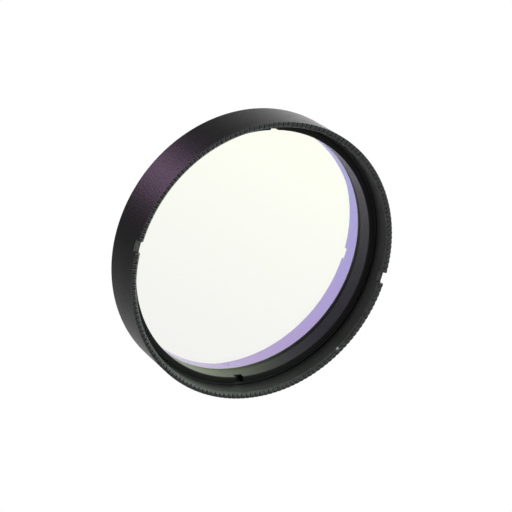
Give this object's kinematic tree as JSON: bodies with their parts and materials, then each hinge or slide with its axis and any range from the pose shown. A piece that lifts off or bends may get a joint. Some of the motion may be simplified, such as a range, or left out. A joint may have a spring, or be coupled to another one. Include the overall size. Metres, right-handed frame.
{
  "type": "light pollution filter",
  "caption": "Round coated glass filter held by a slotted screwed ring in a low black metal cell with a recessed front and a finely serrated, notched rim.",
  "frame": {"origin": "centre of the rear face, on the optical axis", "axes": "+Z along the optical axis, out of the open serrated front end; +X through one notch of the front rim"},
  "size_m": [0.056, 0.056, 0.0096],
  "materials": {
    "cell_anodised": "satin black anodised",
    "ring_anodised": "matt black anodised",
    "coated_glass": "polished, with a purple and green interference coating"
  },
  "bodies": {
    "root": {"filter_cell": "cell_anodised", "filter_glass": "coated_glass", "retaining_ring": "ring_anodised"}
  },
  "joints": []
}
